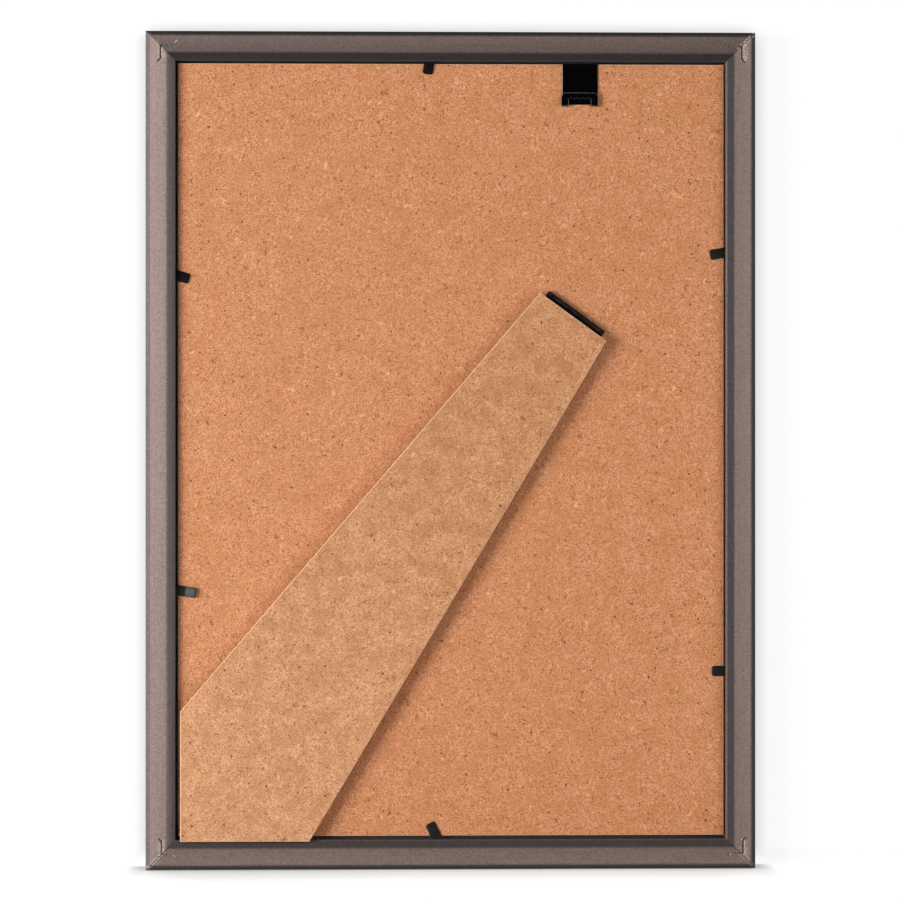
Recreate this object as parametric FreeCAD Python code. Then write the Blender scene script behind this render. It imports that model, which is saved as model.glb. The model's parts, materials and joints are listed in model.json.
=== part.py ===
"""Moulded picture frame for an A4 sheet, with its easel strut folded against the back.

The frame stands upright with the picture side towards +Y and the back towards -Y. The origin
lies under the middle of the whole object. All sizes are in millimetres. Depths are counted
forwards from the back plane of the moulding, so the back plane itself is at depth zero.
"""
import FreeCAD, Part
import os
from math import atan2, cos, pi, radians, sin, tan

from FreeCAD import Vector

# The sheet that the frame holds, and the room around it
page_width = 210.0
page_height = 297.0
play_across = 2.3
play_up = 2.8

# Moulding section, seen from the back: rounded outer edge, flat, chamfer, lip and rabbet wall
rail_back_width = 11.35
outer_round = 2.0
chamfer_width = 2.65
chamfer_depth = 1.4
crest_round = 1.6
lip_width = 0.7
lip_round = 0.45

# Moulding section on the picture side
front_lip_thickness = 4.7
front_reach = 5.0
front_fall = 1.8
front_crest_width = 5.0
front_crest_round = 6.0
front_outer_round = 2.0
sight_round = 0.8

# Layers in the rabbet
point_cover = 2.1
point_clearance = 0.1
board_thickness = 2.5
board_margin = 0.35
sheet_thickness = 0.3
glass_thickness = 2.0
cut_edge_ease = 0.2
board_shift_across = 0.15
board_shift_up = 0.2

# Corner nails, driven into the back of each mitre
nail_inset = 5.5
nail_arm = 4.9
nail_hook = 1.2
nail_thickness = 0.4
nail_height = 7.0
nail_sink = 0.15
nail_slot_gap = 0.08

# Each nail's apex as shares of the inset, across and up from the outer corner
nail_place_shares = {
    "upper_left": (1.05, 1.06),
    "upper_right": (0.99, 1.02),
    "lower_left": (1.12, 1.12),
    "lower_right": (0.9, 1.1),
}

# Flexible points, the black steel strips that hold the board in the rabbet
point_width = 4.0
point_thickness = 0.4
point_reach = 8.0
point_tip_round = 0.9
point_driven = 6.0
point_bend_offset = 0.55
point_split_gap = 0.1
point_kink_share = 0.42

# One row for each point: its side of the frame, its place along that side as a share of half
# the side, its reach as a share of the longest, its lean to one side and the lift of its tip
# in degrees
point_shares = {
    "top_point": ("top", 0.072, 0.61, 8.0, 0.0),
    "bottom_point": ("bottom", -0.047, 0.84, -25.0, 0.0),
    "upper_left_point": ("left", -0.418, 0.7, 17.0, 0.0),
    "lower_left_point": ("left", 0.334, 1.0, 8.0, 14.0),
    "upper_right_point": ("right", 0.474, 0.76, -10.0, 0.0),
    "lower_right_point": ("right", -0.529, 0.66, 0.0, 0.0),
}

# Easel strut
strut_thickness = 2.5
strut_top_width = 31.4
strut_slope = 36.0
strut_left_flare = 4.7
strut_right_flare = 5.3
foot_side_gap = 2.05
foot_over_lip = 0.3

# Strut hinge: two leaves of sheet steel, curled round one pin
barrel_diameter = 2.7
hinge_side_margin = 2.5
barrel_gap = 0.3
barrel_board_gap = 0.1
hinge_sheet = 0.5
hinge_pin_clearance = 0.04
hinge_leaf_length = 15.0
knuckle_gap = 0.25
knuckle_seam = 0.1
pin_head_length = 0.15
pin_head_share = 0.72
prong_width = 2.4
prong_length = 1.7
prong_edge_distance = 3.5
hinge_across_share = 0.4081
hinge_up_share = 0.6635

# Share of the barrel that the strut's own knuckle takes, in its middle
middle_knuckle_share = 0.5

# Hanger, one strip of sheet steel hooked over the top edge of the board
hanger_width = 14.0
hanger_sheet = 0.4
hanger_play = 0.05
hanger_top_gap = 0.15
hanger_bend = 0.25
hanger_drop = 16.4
hanger_front_drop = 18.0
hanger_fold_gap = 0.9
hanger_flap_height = 5.4
hanger_flap_round = 1.3
hanger_leg_width = 2.8
hanger_window_height = 3.3
hanger_window_rise = 0.8
hanger_tooth_height = 0.75
hanger_across_share = 0.4227

# The toothed edge of the window, as shares of the window's width and of the tooth height
hanger_tooth_shares = (
    (-0.5, 0.0),
    (-0.33, 0.0),
    (-0.21, 1.0),
    (0.0, -0.15),
    (0.21, 1.0),
    (0.33, 0.0),
    (0.5, 0.0),
)

# How far every cutting shape runs past the faces that it cuts
overrun = 1.0

# An edge lies on a plane when it is off it by less than this share of the size cut there
pick_share = 0.01

# Two stretches of a strip are in line below this turn, in radians
least_turn = 1e-9

# Sizes that follow from those above
opening_width = page_width + play_across
opening_height = page_height + play_up
frame_width = opening_width + rail_back_width + rail_back_width
frame_height = opening_height + rail_back_width + rail_back_width
board_width = page_width + board_margin + board_margin
board_height = page_height + board_margin + board_margin
point_back_depth = chamfer_depth + point_cover
point_middle_depth = point_back_depth + point_thickness / 2
board_back_depth = point_back_depth + point_thickness + point_clearance
board_front_depth = board_back_depth + board_thickness
sheet_back_depth = board_front_depth + hanger_sheet + hanger_play + hanger_play
glass_back_depth = sheet_back_depth + sheet_thickness
seat_depth = glass_back_depth + glass_thickness
rail_depth = seat_depth + front_lip_thickness
strut_proud = strut_thickness + barrel_diameter + barrel_board_gap - board_back_depth
back_plane = (strut_proud - rail_depth) / 2
barrel_radius = barrel_diameter / 2
barrel_length = strut_top_width - hinge_side_margin - hinge_side_margin
hinge_across = hinge_across_share * frame_width / 2
hinge_up = hinge_up_share * frame_height
hinge_depth = board_back_depth - barrel_board_gap - barrel_radius


def plan_point(across, up):
    """Point in the upright plane that faces the back."""
    return Vector(across, 0, up)


def section_point(depth, up):
    """Point in the upright plane that is seen from the side."""
    return Vector(0, depth, up)


def forwards(length):
    """Vector of this length towards the picture side."""
    return Vector(0, length, 0)


def sideways(length):
    """Vector of this length along +X."""
    return Vector(length, 0, 0)


def unit(vector):
    """The vector brought to a length of one."""
    return vector / vector.Length


def rounded_corner(before, corner, after, radius):
    """Start, middle and end of the arc that rounds one corner of an outline."""
    to_before = unit(before - corner)
    to_after = unit(after - corner)
    half_angle = to_before.getAngle(to_after) / 2
    start = corner + to_before * (radius / tan(half_angle))
    end = corner + to_after * (radius / tan(half_angle))
    inwards = unit(to_before + to_after)
    middle = corner + inwards * (radius / sin(half_angle) - radius)
    return start, middle, end


def outline_face(corners):
    """Flat face inside a closed outline of (point, radius) corners."""
    turns = []
    for index, (corner, radius) in enumerate(corners):
        before = corners[index - 1][0]
        after = corners[(index + 1) % len(corners)][0]
        if radius > 0:
            turns.append(rounded_corner(before, corner, after, radius))
        else:
            turns.append((corner, None, corner))
    edges = []
    for index, (start, middle, end) in enumerate(turns):
        edges.append(Part.makeLine(turns[index - 1][2], start))
        if middle is not None:
            edges.append(Part.Arc(start, middle, end).toShape())
    return Part.Face(Part.Wire(edges))


def sharp_face(points):
    """Flat face inside a closed outline with sharp corners."""
    return outline_face([(point, 0) for point in points])


def strip_face(path, thickness, bend, plane_normal):
    """Face of a bent strip seen edge on, from the middle line of its sheet.

    The two sides of the strip lie half a thickness away from the path, and every corner of
    the path is bent round the same inside radius.
    """
    half = thickness / 2
    left_side = []
    right_side = []
    for index, point in enumerate(path):
        arriving = unit(point - path[index - 1]) if index > 0 else unit(path[1] - path[0])
        leaving = unit(path[index + 1] - point) if index < len(path) - 1 else arriving
        left_of_arriving = plane_normal.cross(arriving)
        left_of_leaving = plane_normal.cross(leaving)
        spread = (left_of_arriving + left_of_leaving) / (1 + left_of_arriving.dot(left_of_leaving))
        turn = plane_normal.dot(arriving.cross(leaving))
        bends = 0 < index < len(path) - 1 and bend > 0 and abs(turn) > least_turn
        left_radius = (bend if turn > 0 else bend + thickness) if bends else 0
        right_radius = (bend + thickness if turn > 0 else bend) if bends else 0
        left_side.append((point + spread * half, left_radius))
        right_side.append((point - spread * half, right_radius))
    right_side.reverse()
    return outline_face(left_side + right_side)


def plate(corners, back_depth, thickness):
    """Flat plate that faces the back, from its (point, radius) corners."""
    face = outline_face(corners)
    face.translate(forwards(back_depth))
    return face.extrude(forwards(thickness))


def ease_back_edges(solid, back_depth, ease):
    """Solid with a small chamfer on the outer edges of its back face."""
    tolerance = ease * pick_share
    edges = [
        edge
        for edge in solid.Edges
        if abs(edge.BoundBox.YMin - back_depth) < tolerance
        and abs(edge.BoundBox.YMax - back_depth) < tolerance
    ]
    return solid.makeChamfer(ease, edges)


def place_on_side(shape, side):
    """Copy of a shape drawn for one side, moved to that side of the frame.

    A side is drawn with its outer face at height zero, its length along X and the middle of
    the frame above it.
    """
    turns = {"bottom": 0, "left": 90, "top": 180, "right": -90}
    corners = {
        "bottom": Vector(0, 0, 0),
        "left": Vector(-frame_width / 2, 0, frame_height / 2),
        "top": Vector(0, 0, frame_height),
        "right": Vector(frame_width / 2, 0, frame_height / 2),
    }
    placed = shape.copy()
    placed.rotate(Vector(0, 0, 0), Vector(0, 1, 0), turns[side])
    placed.translate(corners[side])
    return placed


def side_length(side):
    """Outer length of the frame along one of its sides."""
    return frame_height if side in ("left", "right") else frame_width


def rail_section():
    """Section of the moulding, with the outer face at height zero."""
    flat_end = rail_back_width - lip_width - chamfer_width
    lip_start = rail_back_width - lip_width
    sight_edge = rail_back_width + front_reach
    return outline_face([
        (section_point(0, 0), outer_round),
        (section_point(0, flat_end), crest_round),
        (section_point(chamfer_depth, lip_start), lip_round),
        (section_point(chamfer_depth, rail_back_width), 0),
        (section_point(seat_depth, rail_back_width), 0),
        (section_point(seat_depth, sight_edge), 0),
        (section_point(rail_depth - front_fall, sight_edge), sight_round),
        (section_point(rail_depth, front_crest_width), front_crest_round),
        (section_point(rail_depth, 0), front_outer_round),
    ])


def mitre_wedge(length, direction):
    """Wedge that takes away what lies past the mitre at one end of a rail."""
    top = rail_back_width + front_reach + overrun
    end = length / 2
    face = sharp_face([
        plan_point(direction * (end + overrun), -overrun),
        plan_point(direction * (end - top), top),
        plan_point(direction * (end + overrun), top),
    ])
    face.translate(forwards(-overrun))
    return face.extrude(forwards(rail_depth + overrun + overrun))


def make_rail(side):
    """One mitred rail of the moulding, in its place."""
    length = side_length(side)
    section = rail_section()
    section.translate(sideways(-length / 2))
    rail = section.extrude(sideways(length))
    for direction in (-1, 1):
        rail = rail.cut(mitre_wedge(length, direction))
    return place_on_side(rail, side)


def nail_path(inset_across, inset_up):
    """Middle line of a corner nail at the lower left corner: two arms with hooked ends."""
    arm_end_up = inset_up + nail_arm
    arm_end_across = inset_across + nail_arm
    return [
        plan_point(inset_across - nail_hook, arm_end_up + nail_hook),
        plan_point(inset_across, arm_end_up),
        plan_point(inset_across, inset_up),
        plan_point(arm_end_across, inset_up),
        plan_point(arm_end_across + nail_hook, inset_up - nail_hook),
    ]


def place_in_corner(shape, corner):
    """Shape drawn at the lower left corner of the frame, moved or mirrored to another."""
    centre = Vector(0, 0, frame_height / 2)
    placed = shape.copy()
    placed.translate(sideways(-frame_width / 2))
    if "right" in corner:
        placed = placed.mirror(centre, Vector(1, 0, 0))
    if "upper" in corner:
        placed = placed.mirror(centre, Vector(0, 0, 1))
    return placed


def make_nail(corner, gap, sink):
    """Corner nail, or the slot that it sits in when it is given a gap and no sink."""
    share_across, share_up = nail_place_shares[corner]
    path = nail_path(nail_inset * share_across, nail_inset * share_up)
    face = strip_face(path, nail_thickness + gap + gap, 0, Vector(0, 1, 0))
    face.translate(forwards(sink))
    nail = face.extrude(forwards(nail_height + gap - sink))
    return place_in_corner(nail, corner)


def point_strip(lean, reach):
    """Upright block over the plan of a point, leaning to one side, with its tip rounded."""
    lean_angle = radians(lean)
    along = plan_point(sin(lean_angle), cos(lean_angle))
    across = plan_point(cos(lean_angle), -sin(lean_angle))
    half = point_width / 2
    root = plan_point(0, rail_back_width + point_bend_offset)
    face = outline_face([
        (root - along * point_width - across * half, 0),
        (root + along * reach - across * half, point_tip_round),
        (root + along * reach + across * half, point_tip_round),
        (root - along * point_width + across * half, 0),
    ])
    face.translate(forwards(-point_reach))
    return face.extrude(forwards(point_reach + board_front_depth))


def blade_section(reach, lift):
    """Side view of the free half of a point: round at the bend, with its tip lifted.

    It runs on past the reach by a width, and the plan of the point then sets its end.
    """
    half = point_thickness / 2
    root_up = rail_back_width + point_bend_offset
    kink_up = root_up + reach * point_kink_share
    tip_run = reach * (1 - point_kink_share) + point_width
    angle = radians(lift)
    mitre = half * tan(angle / 2)
    tip = section_point(point_middle_depth - tip_run * sin(angle), kink_up + tip_run * cos(angle))
    face_step = section_point(half * cos(angle), half * sin(angle))
    back_root = section_point(point_middle_depth - half, root_up)
    back_kink = section_point(point_middle_depth - half, kink_up - mitre)
    front_kink = section_point(point_middle_depth + half, kink_up + mitre)
    front_root = section_point(point_middle_depth + half, root_up)
    round_root = section_point(point_middle_depth, root_up - half)
    edges = [
        Part.Arc(front_root, round_root, back_root).toShape(),
        Part.makeLine(back_root, back_kink),
        Part.makeLine(back_kink, tip - face_step),
        Part.makeLine(tip - face_step, tip + face_step),
        Part.makeLine(tip + face_step, front_kink),
        Part.makeLine(front_kink, front_root),
    ]
    return Part.Face(Part.Wire(edges))


def make_point_blade(name):
    """Free half of a flexible point, which bends away from the board."""
    side, place_share, reach_share, lean, lift = point_shares[name]
    reach = point_reach * reach_share - point_bend_offset
    section = blade_section(reach, lift)
    section.translate(sideways(-point_reach))
    slab = section.extrude(sideways(point_reach + point_reach))
    blade = slab.common(point_strip(lean, reach))
    blade.translate(sideways(place_share * side_length(side) / 2))
    return place_on_side(blade.removeSplitter(), side)


def make_point_shank(name):
    """Driven half of a flexible point, with a pointed end inside the rail."""
    side, place_share, _, lean, _ = point_shares[name]
    lean_angle = radians(lean)
    half = point_width / 2
    root = plan_point(0, rail_back_width + point_bend_offset)
    along = plan_point(sin(lean_angle), cos(lean_angle))
    across = plan_point(cos(lean_angle), -sin(lean_angle))
    shank = plate(
        [
            (root - along * point_driven, 0),
            (root - along * (point_driven - half) - across * half, 0),
            (root + along * half - across * half, 0),
            (root + along * half + across * half, 0),
            (root - along * (point_driven - half) + across * half, 0),
        ],
        point_back_depth,
        point_thickness,
    )
    end_up = rail_back_width + point_bend_offset - point_thickness / 2 - point_split_gap
    beyond = Part.makeBox(
        point_reach + point_reach,
        board_front_depth,
        point_reach,
        Vector(-point_reach, 0, end_up),
    )
    shank = shank.cut(beyond)
    shank.translate(sideways(place_share * side_length(side) / 2))
    return place_on_side(shank, side)


def rabbet_plate(width, height, back_depth, thickness):
    """Plate that lies in the rabbet, moved off its middle by the small shift of the stack."""
    low = (frame_height - height) / 2 + board_shift_up
    left = board_shift_across - width / 2
    right = board_shift_across + width / 2
    corners = [
        (plan_point(left, low), 0),
        (plan_point(left, low + height), 0),
        (plan_point(right, low + height), 0),
        (plan_point(right, low), 0),
    ]
    return plate(corners, back_depth, thickness)


def page_plate(back_depth, thickness):
    """Plate of the sheet's size in the rabbet."""
    return rabbet_plate(page_width, page_height, back_depth, thickness)


def meet(start, angle, level, vertical):
    """Where a line from a point at an angle meets an upright or a level line."""
    if vertical:
        across = level
        up = start.z + (level - start.x) * tan(angle)
    else:
        across = start.x + (level - start.z) / tan(angle)
        up = level
    return plan_point(across, up)


def strut_corners():
    """Five corners of the strut: its hinge edge, and a foot cut for both ways of standing."""
    slope = radians(strut_slope)
    along_hinge = plan_point(cos(slope), -sin(slope))
    towards_foot = plan_point(-sin(slope), -cos(slope))
    hinge = plan_point(hinge_across, hinge_up)
    top_middle = hinge + towards_foot * (barrel_radius + barrel_gap)
    top_left = top_middle - along_hinge * (strut_top_width / 2)
    top_right = top_middle + along_hinge * (strut_top_width / 2)
    down = atan2(towards_foot.z, towards_foot.x)
    foot_across = foot_side_gap - opening_width / 2
    foot_up = rail_back_width - foot_over_lip
    left_foot = meet(top_left, down - radians(strut_left_flare), foot_across, True)
    right_foot = meet(top_right, down + radians(strut_right_flare), foot_up, False)
    return [top_left, top_right, right_foot, plan_point(foot_across, foot_up), left_foot]


def place_hinge(shape):
    """Shape drawn round the barrel with the foot of the strut below it, moved to its place."""
    placed = shape.copy()
    placed.rotate(Vector(0, 0, 0), Vector(0, 1, 0), strut_slope)
    placed.translate(Vector(hinge_across, hinge_depth, hinge_up))
    return placed


def circle_point(radius, angle):
    """Point of the hinge section on a circle round the pin, from an angle to the forward way."""
    return section_point(radius * cos(angle), radius * sin(angle))


def curl_section(strip_length):
    """Section of one knuckle: a strip against the board, curled round the pin.

    The strip runs down from the point of the barrel that lies nearest the board, and the curl
    goes on from there, over the top of the barrel, until it nearly meets the strip again.
    """
    inner = barrel_radius - hinge_sheet
    seam_sine = (inner - knuckle_seam) / barrel_radius
    end_angle = 2 * pi - atan2((1 - seam_sine * seam_sine) ** 0.5, seam_sine)
    middle_angle = end_angle / 2
    outer_start = circle_point(barrel_radius, 0)
    outer_end = circle_point(barrel_radius, end_angle)
    inner_end = circle_point(inner, end_angle)
    inner_start = circle_point(inner, 0)
    inner_foot = inner_start + section_point(0, -strip_length)
    outer_foot = outer_start + section_point(0, -strip_length)
    edges = [
        Part.Arc(outer_start, circle_point(barrel_radius, middle_angle), outer_end).toShape(),
        Part.makeLine(outer_end, inner_end),
        Part.Arc(inner_end, circle_point(inner, middle_angle), inner_start).toShape(),
        Part.makeLine(inner_start, inner_foot),
        Part.makeLine(inner_foot, outer_foot),
        Part.makeLine(outer_foot, outer_start),
    ]
    return Part.Face(Part.Wire(edges))


def knuckle_spans(of_strut):
    """Stretches of the barrel that the knuckles of one leaf take."""
    half = barrel_length / 2
    middle = half * middle_knuckle_share
    if of_strut:
        return [(-middle + knuckle_gap, middle - knuckle_gap)]
    return [(-half, -middle), (middle, half)]


def prong_places():
    """Places of the four prongs of a leaf, across it and down from the barrel."""
    across = barrel_length / 2 - prong_edge_distance
    first_down = prong_edge_distance + barrel_radius
    second_down = hinge_leaf_length - prong_edge_distance
    return [(side * across, down) for side in (-1, 1) for down in (first_down, second_down)]


def prong(across, down):
    """One pointed prong, turned down from a leaf into the board behind it."""
    half = prong_width / 2
    root = barrel_radius - hinge_sheet
    shoulder = barrel_radius + barrel_board_gap
    face = sharp_face([
        Vector(across - half, root, -down),
        Vector(across + half, root, -down),
        Vector(across + half, shoulder, -down),
        Vector(across, shoulder + prong_length, -down),
        Vector(across - half, shoulder, -down),
    ])
    return face.extrude(Vector(0, 0, -hinge_sheet))


def punched_window(across, down):
    """Window that a prong leaves in its leaf when it is punched out."""
    return Part.makeBox(
        prong_width,
        hinge_sheet + overrun + overrun,
        prong_length,
        Vector(across - prong_width / 2, barrel_radius - hinge_sheet - overrun, -down),
    )


def hinge_leaf(of_strut):
    """One leaf of the hinge, drawn against the board: a plate, its knuckles and its prongs."""
    notch = barrel_radius + knuckle_gap
    inner = barrel_radius - hinge_sheet
    leaf = Part.makeBox(
        barrel_length,
        hinge_sheet,
        hinge_leaf_length - notch,
        Vector(-barrel_length / 2, inner, -hinge_leaf_length),
    )
    for start, end in knuckle_spans(of_strut):
        section = curl_section(notch)
        section.translate(sideways(start))
        leaf = leaf.fuse(section.extrude(sideways(end - start)))
    for across, down in prong_places():
        leaf = leaf.cut(punched_window(across, down))
        leaf = leaf.fuse(prong(across, down))
    return leaf.removeSplitter()


def prongs():
    """The four prongs of a leaf as one shape, which cuts their slits."""
    pieces = [prong(across, down) for across, down in prong_places()]
    return pieces[0].multiFuse(pieces[1:])


def turn_to_strut(shape):
    """Shape drawn against the board, mirrored through the barrel to lie against the strut."""
    return shape.mirror(Vector(0, 0, 0), Vector(0, 1, 0))


def make_hinge_pin():
    """Straight pin with a small head at each end of the barrel."""
    inner = barrel_radius - hinge_sheet
    along = Vector(1, 0, 0)
    half = barrel_length / 2
    pin = Part.makeCylinder(inner - hinge_pin_clearance, barrel_length, sideways(-half), along)
    for start in (-half - pin_head_length, half):
        head = Part.makeCylinder(barrel_radius * pin_head_share, pin_head_length, sideways(start), along)
        pin = pin.fuse(head)
    return pin.removeSplitter()


def make_back_board():
    """Hardboard back with eased edges and the slits for the hinge prongs."""
    board = rabbet_plate(board_width, board_height, board_back_depth, board_thickness)
    board = ease_back_edges(board, board_back_depth, cut_edge_ease)
    return board.cut(place_hinge(prongs()))


def make_strut():
    """Hardboard strut with eased edges and the slits for the hinge prongs."""
    corners = [(corner, 0) for corner in strut_corners()]
    strut = plate(corners, -strut_proud, strut_thickness)
    strut = ease_back_edges(strut, -strut_proud, cut_edge_ease)
    return strut.cut(place_hinge(turn_to_strut(prongs())))


def hanger_path():
    """Middle line of the hanger's sheet, from its front leaf over the board to its flap."""
    half = hanger_sheet / 2
    board_top = (frame_height + board_height) / 2 + board_shift_up
    front = board_front_depth + hanger_play + half
    back = board_back_depth - hanger_play - half
    flap = back - hanger_fold_gap - hanger_sheet
    top = board_top + hanger_top_gap + half
    fold = board_top - hanger_drop + half
    return [
        section_point(front, board_top - hanger_front_drop),
        section_point(front, top),
        section_point(back, top),
        section_point(back, fold),
        section_point(flap, fold),
        section_point(flap, fold - half + hanger_flap_height),
    ]


def hanger_window(flap_side, middle_depth, fold_bottom):
    """Toothed window of the flap, which runs on through the fold."""
    width = hanger_width - hanger_leg_width - hanger_leg_width
    top = fold_bottom + hanger_window_height
    teeth = [
        plan_point(width * across, top - hanger_tooth_height * down)
        for across, down in hanger_tooth_shares
    ]
    below = fold_bottom - overrun
    face = sharp_face(teeth + [plan_point(width / 2, below), plan_point(-width / 2, below)])
    face.translate(forwards(flap_side - overrun))
    return face.extrude(forwards(middle_depth - flap_side + overrun))


def make_hanger():
    """Hanger: a strip bent over the board's top edge, its foot folded back up as a flap."""
    path = hanger_path()
    half_width = hanger_width / 2
    section = strip_face(path, hanger_sheet, hanger_bend, Vector(1, 0, 0))
    section.translate(sideways(-half_width))
    strip = section.extrude(sideways(hanger_width))
    flap_depth = path[-1].y
    leaf_depth = path[3].y
    fold_bottom = path[3].z - hanger_sheet / 2
    middle_depth = (flap_depth + leaf_depth) / 2
    strip = strip.cut(hanger_window(flap_depth - hanger_sheet, middle_depth, fold_bottom))
    strip = strip.cut(Part.makeBox(
        hanger_width - hanger_leg_width - hanger_leg_width,
        hanger_fold_gap + hanger_sheet,
        hanger_window_rise + overrun,
        Vector(hanger_leg_width - half_width, middle_depth, fold_bottom - overrun),
    ))
    flap_corners = [
        Vector(side * half_width, flap_depth, path[-1].z)
        for side in (-1, 1)
    ]
    tolerance = hanger_sheet * pick_share
    corners = [
        edge
        for edge in strip.Edges
        for corner in flap_corners
        if edge.CenterOfMass.distanceToPoint(corner) < tolerance
    ]
    strip = strip.makeFillet(hanger_flap_round, corners)
    strip.translate(sideways(hanger_across_share * frame_width / 2))
    return strip


def make_parts():
    """All solids of the frame by their node names, with the back plane at depth zero."""
    parts = {f"{side}_rail": make_rail(side) for side in ("top", "bottom", "left", "right")}
    for corner in nail_place_shares:
        slot = make_nail(corner, nail_slot_gap, 0)
        for side in corner.replace("upper", "top").replace("lower", "bottom").split("_"):
            parts[f"{side}_rail"] = parts[f"{side}_rail"].cut(slot)
        parts[f"{corner}_corner_nail"] = make_nail(corner, 0, nail_sink)
    for name in point_shares:
        side = point_shares[name][0]
        shank = make_point_shank(name)
        parts[f"{side}_rail"] = parts[f"{side}_rail"].cut(shank)
        parts[f"{name}_shank"] = shank
        parts[f"{name}_blade"] = make_point_blade(name)
    parts["glass_pane"] = page_plate(glass_back_depth, glass_thickness)
    parts["insert_sheet"] = page_plate(sheet_back_depth, sheet_thickness)
    parts["back_board"] = make_back_board()
    parts["strut"] = make_strut()
    parts["board_hinge_leaf"] = place_hinge(hinge_leaf(False))
    parts["strut_hinge_leaf"] = place_hinge(turn_to_strut(hinge_leaf(True)))
    parts["hinge_pin"] = place_hinge(make_hinge_pin())
    parts["hanger"] = make_hanger()
    return parts


def write_parts():
    """Move every solid so that the origin is under the middle, and write one file for each."""
    os.makedirs("parts", exist_ok=True)
    for name, shape in make_parts().items():
        shape.translate(forwards(back_plane))
        shape.exportStep(f"parts/{name}.step")


write_parts()
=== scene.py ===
"""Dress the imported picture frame, seen from its back with the easel strut folded in.

The frame stands upright. Its picture side looks towards +Y and its back towards the camera,
at -Y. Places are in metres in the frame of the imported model, and the sizes of the pieces are
written in millimetres.
"""
import json
import logging
import math
from dataclasses import dataclass
from enum import Enum
from functools import partial, reduce

import bmesh
import bpy
import numpy as np
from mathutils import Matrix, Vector


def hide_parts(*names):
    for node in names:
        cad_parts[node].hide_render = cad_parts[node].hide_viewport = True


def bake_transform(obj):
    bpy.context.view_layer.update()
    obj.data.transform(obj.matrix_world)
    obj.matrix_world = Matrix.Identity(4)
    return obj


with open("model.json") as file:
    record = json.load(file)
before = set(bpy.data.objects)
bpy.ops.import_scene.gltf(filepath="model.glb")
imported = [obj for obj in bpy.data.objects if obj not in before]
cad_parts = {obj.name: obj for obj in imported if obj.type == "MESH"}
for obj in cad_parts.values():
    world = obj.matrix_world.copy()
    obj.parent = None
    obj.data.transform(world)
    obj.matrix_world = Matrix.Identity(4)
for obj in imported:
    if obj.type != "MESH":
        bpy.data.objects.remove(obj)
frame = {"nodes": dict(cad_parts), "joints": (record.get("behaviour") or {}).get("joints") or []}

LOG = logging.getLogger("picture_frame")
MM = 0.001
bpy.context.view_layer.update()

Triple = tuple[float, float, float]
Span = tuple[float, float]
Screen = tuple[int, int, int]
Socket = bpy.types.NodeSocket
Value = float | tuple[float, ...] | Socket


class Side(Enum):
    """Sides of the frame as the camera sees it."""

    TOP = "top"
    BOTTOM = "bottom"
    LEFT = "left"
    RIGHT = "right"

    @property
    def upright(self) -> bool:
        """Whether the rail of this side stands upright."""
        return self in (Side.LEFT, Side.RIGHT)


def linear(colour: Screen) -> tuple[float, ...]:
    """Turn a screen colour into the linear colour of a shader.

    Each channel c of 0 to 1 becomes c / 12.92 near black and ((c + 0.055) / 1.055) ** 2.4
    above that.

    Args:
        colour: Red, green and blue, 0 to 255.

    Returns:
        The linear colour with an alpha of one.
    """
    channels = np.array(colour) / 255
    bright = ((channels + 0.055) / 1.055) ** 2.4
    return (*np.where(channels < 0.04045, channels / 12.92, bright).tolist(), 1.0)


class Tree:
    """Node tree of a material or a world, built up by short calls."""

    def __init__(self, tree: bpy.types.NodeTree) -> None:
        """Start from the nodes that the tree has."""
        self.nodes, self.links = tree.nodes, tree.links

    def feed(self, socket: Socket, value: Value) -> None:
        """Link a socket to another socket, or set it to a plain value.

        Args:
            socket: The input.
            value: What it gets.
        """
        if isinstance(value, Socket):
            self.links.new(value, socket)
        else:
            socket.default_value = value

    def node(self, kind: str, inputs: dict, **settings: object) -> bpy.types.Node:
        """Add a node.

        Args:
            kind: Type of the node, without the word ShaderNode before it.
            inputs: Values or sockets by input name or number.
            **settings: Properties of the node.

        Returns:
            The new node.
        """
        made = self.nodes.new(f"ShaderNode{kind}")
        for key, value in settings.items():
            setattr(made, key, value)
        for key, value in inputs.items():
            self.feed(made.inputs[key], value)
        return made

    def maths(self, operation: str, first: Value, second: Value = 0.0) -> Socket:
        """Result of an operation of the maths node on one or two numbers."""
        return self.node("Math", {0: first, 1: second}, operation=operation).outputs[0]


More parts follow.
